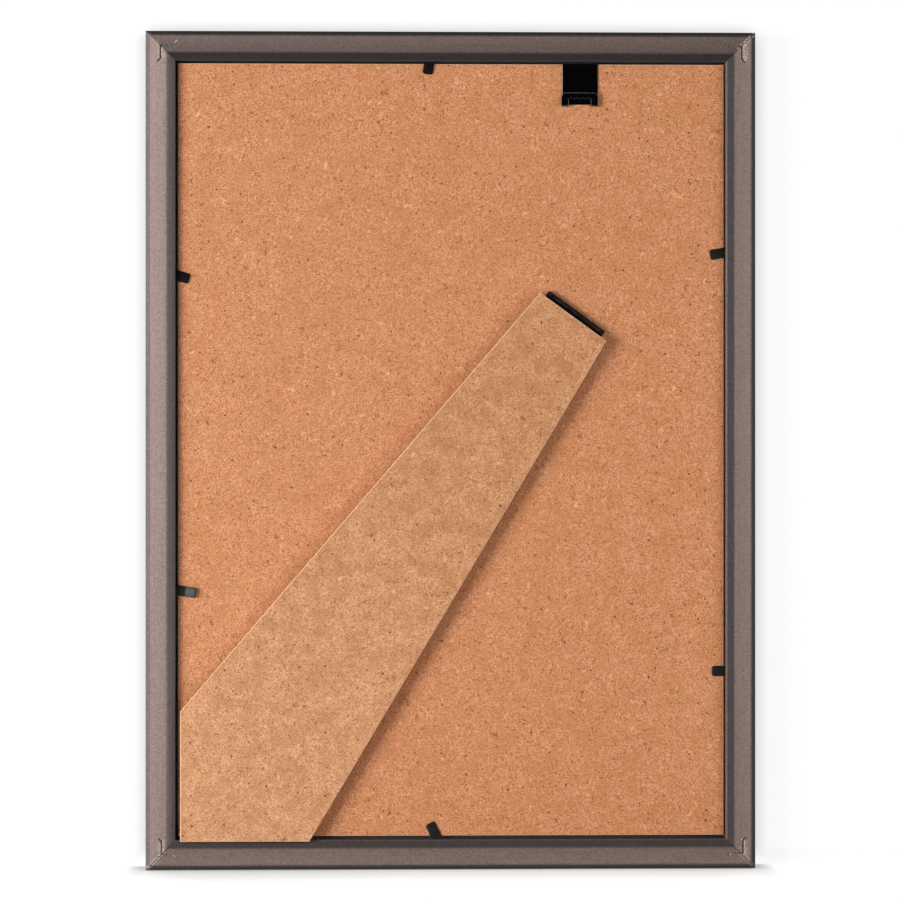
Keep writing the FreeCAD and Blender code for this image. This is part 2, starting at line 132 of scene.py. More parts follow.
class Network(Tree):
    """Shader network of one material, with its arithmetic and patterns."""

    def __init__(self, name: str) -> None:
        """Start a material with its main shader and its object coordinates.

        Args:
            name: Name of the material.
        """
        self.material = bpy.data.materials.new(name)
        self.material.use_nodes = True
        super().__init__(self.material.node_tree)
        self.shader = self.nodes["Principled BSDF"]
        self.output = self.nodes["Material Output"]
        self.coordinates = self.node("TexCoord", {}).outputs
        self.place = self.coordinates["Object"]

    def less(self, first: Value, second: Value) -> Socket:
        """First number less the second."""
        return self.maths("SUBTRACT", first, second)

    def apart(self, first: Value, second: Value) -> Socket:
        """How far apart two numbers are."""
        return self.maths("ABSOLUTE", self.less(first, second))

    def product(self, *numbers: Value) -> Socket:
        """Product of two or more numbers."""
        return reduce(partial(self.maths, "MULTIPLY"), numbers)

    def highest(self, *numbers: Value) -> Socket:
        """Highest of two or more numbers."""
        return reduce(partial(self.maths, "MAXIMUM"), numbers)

    def scaled(self, value: Value, factor: Value, added: Value) -> Socket:
        """Value times a factor plus what is added."""
        inputs = {0: value, 1: factor, 2: added}
        return self.node("Math", inputs, operation="MULTIPLY_ADD").outputs[0]

    def vector(self, operation: str, inputs: dict) -> Socket:
        """Result of an operation of the vector maths node."""
        return self.node("VectorMath", inputs, operation=operation).outputs[0]

    def shaded(self, colour: Value, factor: Value) -> Socket:
        """Colour with its brightness multiplied by a factor."""
        return self.vector("SCALE", {0: colour, "Scale": factor})

    def between(self, value: Value, low: float, high: float) -> Socket:
        """Number from low to high as the value goes from 0 to 1."""
        spread = {"Value": value, "To Min": low, "To Max": high}
        return self.node("MapRange", spread).outputs[0]

    def falling(self, value: Value, fall: float) -> Socket:
        """Factor about one that falls by a share in all as the value goes from 0 to 1."""
        return self.between(value, 1 + fall / 2, 1 - fall / 2)

    def way_along(self, value: Value, span: Span) -> Socket:
        """Share of the way that a value has gone from the start of a span to its end."""
        return self.maths("DIVIDE", self.less(value, span[0]), span[1] - span[0])

    def window(self, value: Value, low: float, high: float) -> Socket:
        """Smooth step from zero to one as a value goes from low to high.

        Args:
            value: The number that is followed.
            low: Where the step is zero.
            high: Where the step is one. It may lie below low.

        Returns:
            Socket of the step.
        """
        first, last = sorted((low, high))
        inputs = {"Value": value, "From Min": first, "From Max": last}
        step = self.node("MapRange", inputs, interpolation_type="SMOOTHSTEP").outputs[0]
        return step if low < high else self.less(1.0, step)

    def band(self, value: Value, place: Value, reach: float) -> Socket:
        """One where a value lies near a place, falling to zero at the reach on either side."""
        return self.window(self.apart(value, place), reach, reach * 0.6)

    def mix(self, share: Value, first: Value, second: Value) -> Socket:
        """Colour that goes from the first to the second as the share goes from 0 to 1."""
        return self.node("Mix", {0: share, 6: first, 7: second}, data_type="RGBA").outputs[2]

    def stained(self, colour: Value, tone: Screen, share: Value, strength: float) -> Socket:
        """Colour mixed towards a tone, by a share that is multiplied by a strength."""
        return self.mix(self.product(share, strength), colour, linear(tone))

    def millimetres(self) -> list[Socket]:
        """Object coordinates along X, Y and Z, in millimetres."""
        parts = self.node("SeparateXYZ", {0: self.place}).outputs
        return [self.product(part, 1 / MM) for part in parts]

    def noise(
        self, spacing: float, detail: float = 2.0, roughness: float = 0.6, warp: float = 0.0,
        shift: float = 0.0, stretch: Triple = (1.0, 1.0, 1.0),
    ) -> Socket:
        """Cloudy pattern of a given size.

        Args:
            spacing: Size of its features, in millimetres.
            detail: Number of finer layers.
            roughness: Strength of the finer layers.
            warp: How far the pattern is twisted.
            shift: Distance by which the pattern is moved, in metres.
            stretch: How many times longer the features are along each axis.

        Returns:
            Socket of the pattern, from 0 to 1.
        """
        scale = tuple(1.0 / part for part in stretch)
        mapping = {"Vector": self.place, "Location": (shift, shift, shift), "Scale": scale}
        inputs = {
            "Vector": self.node("Mapping", mapping).outputs[0], "Scale": 1 / (spacing * MM),
            "Detail": detail, "Roughness": roughness, "Distortion": warp,
        }
        return self.node("TexNoise", inputs).outputs[0]

    def cells(self, spacing: float, reach: float, curl: float) -> tuple[Socket, Socket]:
        """Random number of the nearest cell of a ragged grid, and how far its middle is.

        Noise pushes the coordinates about before the grid reads them.

        Args:
            spacing: Size of a cell, in millimetres.
            reach: How far a point is pushed, in millimetres.
            curl: Size of the noise, in millimetres.

        Returns:
            The number, from 0 to 1, and the distance as a share of a cell.
        """
        noise = {"Vector": self.place, "Scale": 1 / (curl * MM), "Detail": 1.0}
        push = self.shaded(self.node("TexNoise", noise).outputs[1], reach * MM)
        grid = {"Vector": self.vector("ADD", {0: self.place, 1: push})}
        nearest = self.node("TexVoronoi", {**grid, "Scale": 1 / (spacing * MM)}).outputs
        parts = self.node("SeparateColor", {0: nearest["Color"]})
        return parts.outputs[0], nearest["Distance"]

    def chips(self, spacing: float) -> Socket:
        """Random number for each small irregular cell, like pressed chips of wood."""
        return self.cells(spacing, spacing * 0.6, spacing * 1.5)[0]

    def specks(
        self, spacing: float, least: float, most: float, share: float, ragged: Span
    ) -> Socket:
        """Scattered irregular specks, at most one for each cell of a random grid.

        A cell's number sets whether it has a speck and how large that is: the radius goes
        from least to most over the chosen share of the cells.

        Args:
            spacing: Size of a cell, in millimetres.
            least: Radius of the smallest speck as a share of a cell.
            most: Radius of the largest speck as a share of a cell.
            share: Share of the cells that have a speck.
            ragged: How far outlines are pushed about, and the size of that noise.

        Returns:
            Socket that is 1 inside the specks and 0 outside.
        """
        number, distance = self.cells(spacing, *ragged)
        radius = self.scaled(self.window(number, 1 - share, 1.0), most - least, least)
        inside = self.window(self.maths("DIVIDE", distance, radius), 1.15, 0.65)
        return self.product(inside, self.maths("GREATER_THAN", number, 1 - share))

    def fibres(self, spacing: float, shift: float, share: float) -> Socket:
        """Short curled lines, like single wood fibres in a pressed board.

        A line runs where a noise passes its middle value, and a second, finer noise keeps
        only a few stretches of it.

        Args:
            spacing: Size of the curls, in millimetres.
            shift: Distance by which the pattern is moved, in metres.
            share: Value above which the second noise lets a line show.

        Returns:
            Socket that is 1 on the lines and 0 elsewhere.
        """
        curl = self.noise(spacing, 0.0, 0.5, warp=1.0, shift=shift)
        line = self.window(self.apart(curl, 0.5), 0.03, 0.009)
        keeper = self.noise(spacing * 0.8, 1.0, 0.5, shift=shift + 1.0)
        return self.product(line, self.window(keeper, share, share + 0.04))

    def facing_back(self) -> Socket:
        """One on faces that look to the back or front, falling to zero on the cut edges."""
        normal = self.node("SeparateXYZ", {0: self.coordinates["Normal"]})
        return self.window(self.maths("ABSOLUTE", normal.outputs[1]), 0.80, 0.97)

    def relief(self, height: Socket, depth: float, strength: float) -> None:
        """Give the main shader a bump.

        Args:
            height: Pattern of the relief, 0 to 1.
            depth: Height of the relief, in millimetres.
            strength: Share of the bump that shows.
        """
        bump = {"Height": height, "Distance": depth * MM, "Strength": strength}
        self.feed(self.shader.inputs["Normal"], self.node("Bump", bump).outputs[0])

    def surface(self, **values: Value) -> bpy.types.Material:
        """Set sockets of the main shader.

        Args:
            **values: Values or sockets by the name of the socket, with _ for a space.

        Returns:
            The material.
        """
        for name, value in values.items():
            self.feed(self.shader.inputs[name.replace("_", " ")], value)
        return self.material


@dataclass(frozen=True)
class HardboardFinish:
    """Pressed wood fibre board: fine grain, clouds, dark specks, curled fibres, and cut edges in
    a pale fibre tone that is partly a painted highlight on the arrises.

    The head shade multiplies the colour more and more from the height of the foot to the head:
    painted shade, darker towards the head.
    """

    name: str
    light: Screen = (243, 181, 139)
    deep: Screen = (178, 91, 8)
    red: Screen = (188, 101, 46)
    cloud: Screen = (194, 124, 65)
    speck: Screen = (112, 48, 10)
    pale: Screen = (254, 194, 140)
    # Edge tone: the fibre colour of the cut, made paler as a painted highlight.
    edge: Screen = (252, 212, 172)
    chip_size: float = 0.33
    cloud_size: float = 7.0
    cloud_share: float = 0.4
    speck_spacing: float = 3.2
    speck_share: float = 0.6
    foot: float = 0.0
    head: float = 310.0
    head_shade: Triple = (0.94, 0.93, 0.92)

    def build(self) -> bpy.types.Material:
        """Make the material.

        Returns:
            The finished material.
        """
        net = Network(self.name)
        grain = net.window(net.noise(0.35, warp=0.3), 0.36, 0.64)
        coarse = net.window(net.noise(1.0, 3.0, warp=0.6, shift=0.3), 0.36, 0.66)
        soft = net.scaled(grain, 0.16, net.product(coarse, 0.06))
        level = net.scaled(net.chips(self.chip_size), 0.78, soft)
        colour = net.mix(level, linear(self.deep), linear(self.light))
        ruddy = net.window(net.noise(0.9, shift=1.7), 0.5, 0.72)
        colour = net.stained(colour, self.red, ruddy, 0.3)
        clouds = net.window(net.noise(self.cloud_size, 3.0), 0.35, 0.7)
        colour = net.stained(colour, self.cloud, clouds, self.cloud_share)
        # Painted shade: the colour darkens more and more towards the head.
        upper = net.window(net.millimetres()[2], self.foot, self.head)
        tint = net.mix(upper, (1.0, 1.0, 1.0, 1.0), (*self.head_shade, 1.0))
        colour = net.vector("MULTIPLY", {0: colour, 1: tint})
        fine = net.specks(1.2, 0.09, 0.26, 0.5, (0.4, 0.5))
        large = net.specks(self.speck_spacing, 0.06, 0.15, self.speck_share, (0.6, 0.6))
        for tone, share, strength in (
            (self.pale, net.fibres(3.5, 3.0, 0.58), 0.5),
            (self.speck, net.fibres(3.0, 7.0, 0.57), 0.6),
            (self.speck, fine, 0.72),
            (self.speck, large, 0.95),
        ):
            colour = net.stained(colour, tone, share, strength)
        # Cut edges: the paler fibre tone of the cut, made paler still as a painted highlight on
        # the arrises.
        colour = net.mix(net.facing_back(), linear(self.edge), colour)
        net.relief(grain, 0.015, 0.4)
        return net.surface(Base_Color=colour, Roughness=0.62)


@dataclass(frozen=True)
class Streak:
    """Short chip in the film beside the hook of a nail, in millimetres over a rail's face."""

    across: float
    along: float
    turned: float
    length: float = 0.8
    width: float = 0.32


@dataclass(frozen=True)
class RailWearAndLight:
    """Painted light, tones and wear of one rail. Its bare and coat tones are painted light: lit
    and shaded copies of one finish, brightest on the left rail and darkest on the top.

    The light drift is the share by which its bare face grows brighter from its first end, at the
    left or below, to its last, a painted light falloff. The fall is the share by which it
    darkens inwards, and the coat shade fall the share by which the coated chamfer does, a
    painted shade. The lip sheen is how far the lip is painted in the bare tone, a painted
    highlight, and the lip shade the brightness that is left on the coat at the lip, a painted
    shade. The arms are the middles of the nails' arms that have burrs beside them, across the
    rail and along it.
    """

    bare_tone: float
    coat_tone: float
    first_chips: float
    last_chips: float
    lip_sheen: float = 0.0
    light_drift: float = 0.0
    fall: float = 0.16
    coat_shade_fall: float = 0.0
    lip_shade: float = 1.0
    arms: tuple[Span, ...] = ()
    streaks: tuple[Streak, ...] = ()


class RailNetwork(Network):
    """Shader network of one rail, with the distances over its face."""

    def __init__(self, side: Side, width: float, height: float) -> None:
        """Start the material of a rail.

        Across is counted from the rail's outer edge, along from its left or lower end, and
        depth from the middle of the object, all in millimetres.

        Args:
            side: Side of the frame that the rail is on.
            width: Width of the frame.
            height: Height of the frame.
        """
        super().__init__(f"moulding_{side.value}")
        aside, self.depth, from_below = self.millimetres()
        from_left = self.maths("ADD", aside, width / 2)
        self.along = from_below if side.upright else from_left
        self.across = {
            Side.LEFT: from_left,
            Side.RIGHT: self.less(width, from_left),
            Side.BOTTOM: from_below,
            Side.TOP: self.less(height, from_below),
        }[side]


@dataclass(frozen=True)
class MouldingFinish:
    """Satin moulding: a drawn flat back between dark coated edges, chipped at the mitres, with
    painted light and shade in each rail's tones.

    Each span says where a soft border or a slope starts and ends. The back's span is a depth,
    and the others are distances across the rail.
    """

    side: Side
    width: float
    height: float
    wear_and_light: RailWearAndLight
    bare: Screen = (98, 84, 79)
    streak: Screen = (116, 101, 95)
    coat: Screen = (56, 51, 51)
    chip: Screen = (206, 192, 184)
    crack: Screen = (34, 25, 21)
    arm_half: float = 2.5
    back: Span = (-3.9, -4.2)
    outer_coat_end: Span = (1.2, 2.5)
    flat: Span = (2.4, 8.0)
    inner_coat_end: Span = (8.8, 7.6)
    chamfer: Span = (8.4, 10.6)
    shaded_lip: Span = (10.5, 10.8)
    sheen_lip: Span = (10.7, 11.0)
    chips_end: Span = (7.6, 5.6)
    crack_end: Span = (11.0, 8.5)

    @property
    def length(self) -> float:
        """Length of the rail along its outer edge."""
        return self.height if self.side.upright else self.width

    def tone(self, colour: Screen, share: float) -> tuple[float, ...]:
        """Linear colour with its brightness multiplied by a share."""
        return (*(share * part for part in linear(colour)[:3]), 1.0)

    def bare_share(self, net: RailNetwork) -> Socket:
        """Where the dark coat ends: it leaves the flat of the back bare, and paints the lip in
        the bare tone as a painted highlight.

        Args:
            net: Network of the rail.

        Returns:
            Socket that is 1 on the bare face and 0 on the coat.
        """
        ragged = net.product(net.less(net.noise(0.9, roughness=0.5), 0.5), 0.5)
        place = net.maths("ADD", net.across, ragged)
        flat = net.product(
            net.window(place, *self.outer_coat_end),
            net.window(place, *self.inner_coat_end),
            net.window(net.depth, *self.back),
        )
        # Painted highlight: the lip sheen paints the lip in the bare tone.
        wear_and_sheen = net.product(net.window(net.across, *self.sheen_lip), self.wear_and_light.lip_sheen)
        return net.highest(flat, wear_and_sheen)

    def at_mitres(self, net: RailNetwork) -> tuple[Socket, Socket]:
        """Chips along both mitres, and the crack between the rails.

        Args:
            net: Network of the rail.

        Returns:
            Share of the chips and share of the crack.
        """
        wander = net.product(net.less(net.noise(1.3, roughness=0.5), 0.5), 0.7)
        flakes = net.window(net.noise(0.8, 3.0, 0.7, shift=0.7), 0.47, 0.53)
        chipped = net.window(net.across, *self.chips_end)
        chips, crack = [], []
        for run, share in (
            (net.along, self.wear_and_light.first_chips),
            (net.less(self.length, net.along), self.wear_and_light.last_chips),
        ):
            place = net.maths("ADD", net.apart(net.across, run), wander)
            line = net.product(net.window(place, 0.22, 0.36), net.window(place, 1.1, 0.75))
            chips.append(net.product(line, flakes, chipped, share))
            crack.append(net.window(place, 0.42, 0.2))
        cracked = net.window(net.across, *self.crack_end)
        return net.highest(*chips), net.product(net.highest(*crack), cracked, 0.5)

    def chipped(self, net: RailNetwork, colour: Socket) -> Socket:
        """Colour with the chips of the mitres, the burrs beside the nails and their streaks.

        Args:
            net: Network of the rail.
            colour: Colour without them.

        Returns:
            Socket of the new colour.
        """
        chips, crack = self.at_mitres(net)
        crumbs = net.window(net.noise(0.55, shift=2.9), 0.5, 0.57)
        patchy = net.between(net.window(net.noise(0.9, shift=5.3), 0.4, 0.6), 0.25, 1.0)
        for arm_across, arm_along in self.wear_and_light.arms:
            wide, gap = net.apart(net.across, arm_across), net.apart(net.along, arm_along)
            nearby = net.product(net.window(wide, 2.0, 0.6), net.window(gap, 4.5, 3.0), 0.8)
            beside = net.window(gap, self.arm_half + 0.4, self.arm_half - 0.2)
            burr = net.product(net.window(wide, 0.5, 0.2), beside, patchy, 0.55)
            chips = net.highest(chips, net.product(nearby, crumbs), burr)
        for mark in self.wear_and_light.streaks:
            over = net.less(net.across, mark.across)
            past = net.product(net.less(net.along, mark.along), mark.turned)
            lengthwise = net.apart(over, net.product(past, -1.0))
            streak = net.product(
                net.window(lengthwise, 1.4 * mark.length, mark.length),
                net.window(net.apart(over, past), 1.4 * mark.width, 0.7 * mark.width),
                0.7,
            )
            chips = net.highest(chips, streak)
        colour = net.mix(chips, colour, linear(self.chip))
        return net.mix(crack, colour, linear(self.crack))

    def build(self) -> bpy.types.Material:
        """Make the material.

        The bare face darkens inwards and drifts brighter from end to end, a painted light
        falloff. The coat darkens from the crest inwards, and again at the lip, a painted shade
        where a rail sets it.

        Returns:
            The finished material.
        """
        net = RailNetwork(self.side, self.width, self.height)
        upright, wear_and_light = self.side.upright, self.wear_and_light
        drawn = (1.0, 1.0, 40.0) if upright else (40.0, 1.0, 1.0)
        streaks = net.noise(0.8, 3.0, stretch=drawn)
        pattern = net.scaled(streaks, 0.5, net.product(net.chips(0.42), 0.5))
        level = net.window(pattern, 0.25, 0.75)
        # Painted light: each rail's bare tone is a lit or shaded copy of one finish.
        dull, pale = (self.tone(colour, wear_and_light.bare_tone) for colour in (self.bare, self.streak))
        inwards = net.falling(net.way_along(net.across, self.flat), wear_and_light.fall)
        # Painted light: the bare face grows brighter or darker from end to end by the light
        # drift.
        end_to_end = net.falling(net.maths("DIVIDE", net.along, self.length), -wear_and_light.light_drift)
        bare = net.shaded(net.mix(level, dull, pale), net.product(inwards, end_to_end))
        dark, light = (self.tone(self.coat, part * wear_and_light.coat_tone) for part in (0.8, 1.2))
        # Painted shade: the coat darkens inwards by the coat shade fall and at the lip by the
        # lip shade.
        inwards = net.falling(net.way_along(net.across, self.chamfer), wear_and_light.coat_shade_fall)
        at_lip = net.between(net.window(net.across, *self.shaded_lip), 1.0, wear_and_light.lip_shade)
        coat = net.shaded(net.mix(level, dark, light), net.product(inwards, at_lip))
        share = self.bare_share(net)
        plain = net.mix(share, coat, bare)
        colour = net.mix(net.window(net.depth, *self.back), plain, self.chipped(net, plain))
        net.relief(pattern, 0.02, 0.5)
        tangent = {0: 0.0, 1: 0.0, 2: 1.0} if upright else {0: 1.0, 1: 0.0, 2: 0.0}
        return net.surface(
            Base_Color=colour, Roughness=net.between(share, 0.85, 0.5), Specular_IOR_Level=0.5,
            Specular_Tint=(1.0, 0.88, 0.84, 1.0), Anisotropic=0.6, Anisotropic_Rotation=0.25,
            Tangent=net.node("CombineXYZ", tangent).outputs[0],
        )


@dataclass(frozen=True)
class NailFinish:
    """Corner nail whose arm that lies level is painted patchily in the moulding's paler tone, a
    painted light where that arm looks lit.
    """

    name: str
    steel: Screen
    lit_arm: Screen
    lit_arm_end: float = 110.7

    def build(self) -> bpy.types.Material:
        """Make the material.

        Returns:
            The finished material.
        """
        net = Network(self.name)
        aside = net.maths("ABSOLUTE", net.millimetres()[0])
        # Painted light: the level arm is painted patchily in the paler tone.
        level_arm = net.window(aside, self.lit_arm_end + 0.3, self.lit_arm_end)
        lit_arm = net.product(level_arm, net.window(net.noise(0.9), 0.62, 0.5))
        grain = net.noise(0.4)
        dark = linear(tuple(part * 4 // 5 for part in self.steel))
        colour = net.mix(lit_arm, net.mix(grain, dark, linear(self.steel)), linear(self.lit_arm))
        net.relief(grain, 0.03, 0.6)
        return net.surface(Base_Color=colour, Roughness=0.6, Specular_IOR_Level=0.3)


@dataclass(frozen=True)
class SteelFinish:
    """Blackened sheet steel with fine scratches and thinner black on its cut edges."""

    name: str
    black: Screen
    wear_and_sheen: Screen
    edge: Screen = (84, 82, 82)
    edge_share: float = 0.6
    gloss: float = 0.3
    matt: float = 0.5
    shine: float = 0.4
    scratch: float = 0.5

    def build(self) -> bpy.types.Material:
        """Make the material.

        Returns:
            The finished material.
        """
        net = Network(self.name)
        mottle = net.noise(0.8, 3.0)
        scratches = net.noise(0.25, stretch=(1.0, 1.0, 14.0))
        level = net.window(net.maths("ADD", mottle, scratches), 0.95, 1.25)
        colour = net.mix(level, linear(self.black), linear(self.wear_and_sheen))
        edge = net.less(1.0, net.facing_back())
        colour = self.with_painted_highlights(net, net.stained(colour, self.edge, edge, self.edge_share))
        net.relief(scratches, 0.01, self.scratch)
        rough = net.between(mottle, self.gloss, self.matt)
        return net.surface(Base_Color=colour, Roughness=rough, Specular_IOR_Level=self.shine)

    def with_painted_highlights(self, net: Network, colour: Socket) -> Socket:
        """Colour with the painted highlights that follow the piece's own shape; plain steel has
        none.
        """
        return colour


@dataclass(frozen=True)
class HingeFinish(SteelFinish):
    """Black hinge steel with two uneven painted highlight lines along its rolled barrel."""

    across: Triple = (0.588, 0.0, 0.809)
    axis_at: float = 201.3
    # Painted highlights: two lines where the lamps' sheen runs along the barrel.
    highlight_lines: tuple[Span, ...] = ((0.05, 0.48), (1.0, 0.28))
    painted_highlight: Screen = (56, 50, 52)

    def with_painted_highlights(self, net: Network, colour: Socket) -> Socket:
        """Colour with the painted highlight lines.

        A line keeps its distance from the hinge's axis, measured over the board and square to
        the axis.

        Args:
            net: Network of the material.
            colour: Colour without the lines.

        Returns:
            Socket of the colour with them.
        """
        aside, _, up = net.millimetres()
        over = net.scaled(aside, self.across[0], net.product(up, self.across[2]))
        over = net.less(over, self.axis_at)
        for number, (place, reach) in enumerate(self.highlight_lines):
            uneven = net.window(net.noise(2.6, shift=0.4 + number), 0.38, 0.6)
            line = net.product(net.band(over, place, reach), net.between(uneven, 0.25, 1.0))
            colour = net.mix(line, colour, linear(self.painted_highlight))
        return colour


@dataclass(frozen=True)
class HangerFinish(SteelFinish):
    """Black hanger steel with painted highlights along the edges of the flap."""

    middle: float = 49.67
    top: float = 299.3
    bottom: float = 293.9
    half_width: float = 7.0
    half_window: float = 4.2
    window_top: float = 297.2
    flap_round: float = 1.3
    strip_top: float = 310.3
    tooth: float = 2.3
    tooth_height: float = 0.5
    line: float = 0.2
    # Painted highlights: the tone of the lines along the edges, and the lit tone of the cut
    # edge.
    painted_highlight: Screen = (80, 76, 74)
    lit: Screen = (190, 166, 150)

    def with_painted_highlights(self, net: Network, colour: Socket) -> Socket:
        """Colour with painted highlight lines round the flap, its window and teeth, and a
        painted highlight down one cut edge.

        The flap's outline is a box with rounded top corners. A point's distance from the
        inner box, made smaller by the corner radius, less that radius, is its distance from
        the outline. The teeth follow a wave that rises and falls in straight lines.

        Args:
            net: Network of the material.
            colour: Colour without the lines.

        Returns:
            Socket of the colour with them.
        """
        aside, _, up = net.millimetres()
        across = net.less(aside, self.middle)
        half = net.maths("ABSOLUTE", across)
        corner, line = self.flap_round, self.line
        over_side = net.highest(net.less(half, self.half_width - corner), 0.0)
        over_top = net.highest(net.less(up, self.top - corner), 0.0)
        squares = net.scaled(over_side, over_side, net.product(over_top, over_top))
        inside = net.less(corner, net.maths("SQRT", squares))
        flap = net.window(up, self.top - 1.9, self.top - 1.2)
        rim = net.product(net.band(inside, 0.14, line), flap)
        below = net.window(up, self.window_top, self.window_top - 0.4)
        window = net.product(net.band(half, self.half_window + 0.16, line), below)
        beside = net.window(half, self.half_window, self.half_window + 0.2)
        legs = net.product(net.band(up, self.bottom + 0.2, 0.3), beside)
        wave = net.maths("PINGPONG", across, self.tooth / 2)
        teeth = net.scaled(wave, 2 * self.tooth_height / self.tooth, self.window_top - 0.4)
        within = net.window(half, self.half_window, self.half_window - 0.4)
        teeth = net.product(net.band(up, teeth, line), within, 0.5)
        uneven = net.between(net.window(net.noise(0.8), 0.35, 0.6), 0.3, 1.0)
        # Painted highlights along the flap's rim, window, legs and teeth.
        wear_and_sheen = net.product(net.highest(rim, window, legs, teeth), uneven)
        colour = net.mix(wear_and_sheen, colour, linear(self.painted_highlight))
        # Painted highlight down the left cut edge, lit by the side lamp.
        cut = net.product(
            net.band(across, 0.2 - self.half_width, 0.26),
            net.window(up, self.top - 1.6, self.top + 0.4),
            net.window(up, self.strip_top + 0.4, self.strip_top - 0.4),
            0.85,
        )
        return net.mix(cut, colour, linear(self.lit))


@dataclass(frozen=True)
class GlassFinish:
    """Clear float glass that lets the lamps' light through to the sheet behind it."""

    name: str
    tint: Screen = (252, 255, 254)

    def build(self) -> bpy.types.Material:
        """Make the material.

        Returns:
            The finished material.
        """
        net = Network(self.name)
        tint = linear(self.tint)
        roughness = net.between(net.noise(30.0, 3.0), 0.0, 0.03)
        net.surface(Base_Color=tint, Roughness=roughness, Transmission_Weight=1.0, IOR=1.5)
        in_shadow = net.node("LightPath", {}).outputs["Is Shadow Ray"]
        clear = net.node("BsdfTransparent", {0: tint}).outputs[0]
        cast = net.node("MixShader", {0: in_shadow, 1: net.shader.outputs[0], 2: clear})
        net.feed(net.output.inputs["Surface"], cast.outputs[0])
        return net.material


@dataclass(frozen=True)
class PaperFinish:
    """Plain off-white sheet with the faint cloud and tooth of uncoated paper."""

    name: str
    light: Screen = (240, 239, 235)
    deep: Screen = (234, 232, 227)

    def build(self) -> bpy.types.Material:
        """Make the material.

        Returns:
            The finished material.
        """
        net = Network(self.name)
        cloud, tooth = net.noise(4.0, 3.0), net.noise(0.25)
        level = net.window(net.maths("ADD", cloud, tooth), 0.8, 1.2)
        colour = net.mix(level, linear(self.deep), linear(self.light))
        net.relief(tooth, 0.02, 0.6)
        return net.surface(Base_Color=colour, Roughness=0.85)


def dress(node: str, material: bpy.types.Material) -> None:
    """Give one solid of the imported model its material.

    Args:
        node: Name of the solid.
        material: The material that it gets.
    """
    owner = frame["nodes"][node]
    if owner.material_slots:
        owner.material_slots[0].material = material
    else:
        owner.data.materials.append(material)
    LOG.info("dressed %s with %s", node, material.name)


def loft(name: str, rings: np.ndarray) -> bpy.types.Object:
    """Make a closed skin through a row of rings.

    Point j of ring i is joined to point j + 1 of the same ring and to point j of ring i + 1,
    and the first and last rings are closed with one flat face each.

    Args:
        name: Name of the piece.
        rings: Points of the rings, shaped (rings, points of a ring, 3), in metres.

    Returns:
        The new object, smooth, with its faces outwards.
    """
    count, around, _ = rings.shape
    index = np.arange(count * around).reshape(count, around)
    ahead = np.roll(index, -1, axis=1)
    quads = np.stack([index[:-1], ahead[:-1], ahead[1:], index[1:]], axis=-1).reshape(-1, 4)
    ends = [index[0, ::-1].tolist(), index[-1].tolist()]
    mesh = bpy.data.meshes.new(name)
    mesh.from_pydata(rings.reshape(-1, 3).tolist(), [], quads.tolist() + ends)
    shell = bmesh.new()
    shell.from_mesh(mesh)
    bmesh.ops.recalc_face_normals(shell, faces=shell.faces)
    shell.to_mesh(mesh)
    shell.free()
    mesh.polygons.foreach_set("use_smooth", np.ones(len(mesh.polygons), bool))
    made = bpy.data.objects.new(name, mesh)
    bpy.context.scene.collection.objects.link(made)
    return made


